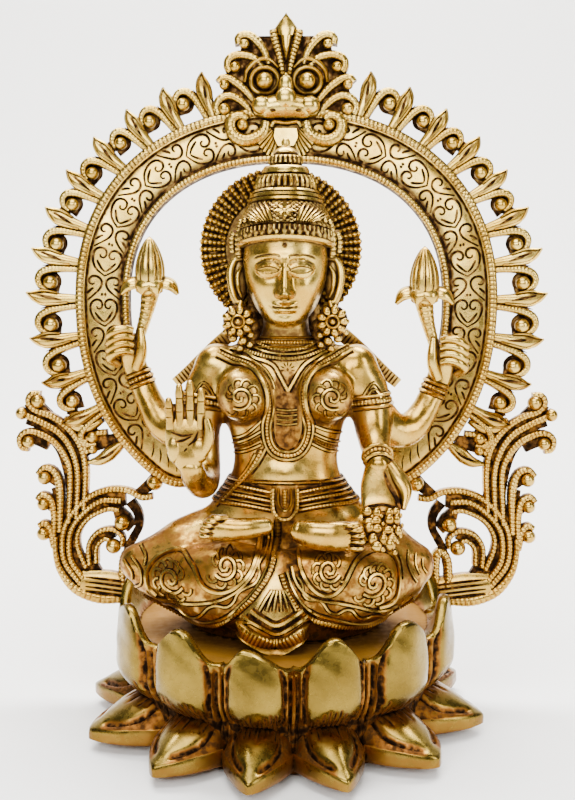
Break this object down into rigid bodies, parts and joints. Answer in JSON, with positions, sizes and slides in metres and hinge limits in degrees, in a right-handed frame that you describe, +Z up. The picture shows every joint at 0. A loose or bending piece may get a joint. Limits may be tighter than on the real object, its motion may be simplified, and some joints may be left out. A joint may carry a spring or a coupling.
{
  "type": "seated lakshmi figure",
  "caption": "Cast brass seated goddess with four arms on a double lotus base, framed by a leaning ring of flames with a guardian mask on top.",
  "frame": {"origin": "middle of the underside of the lotus base", "axes": "+Z up, the figure looks along -Y, +X to the right of the viewer"},
  "size_m": [0.2438, 0.1716, 0.3045],
  "materials": {
    "lotus_base": "polished cast brass with dark patina in the recesses",
    "lakshmi_figure": "polished cast brass with dark patina in the recesses",
    "prabhavali_arch": "polished cast brass with dark patina in the engraving"
  },
  "bodies": {
    "root": {"lotus_base": "lotus_base", "lakshmi_figure": "lakshmi_figure", "prabhavali_arch": "prabhavali_arch"}
  },
  "joints": []
}
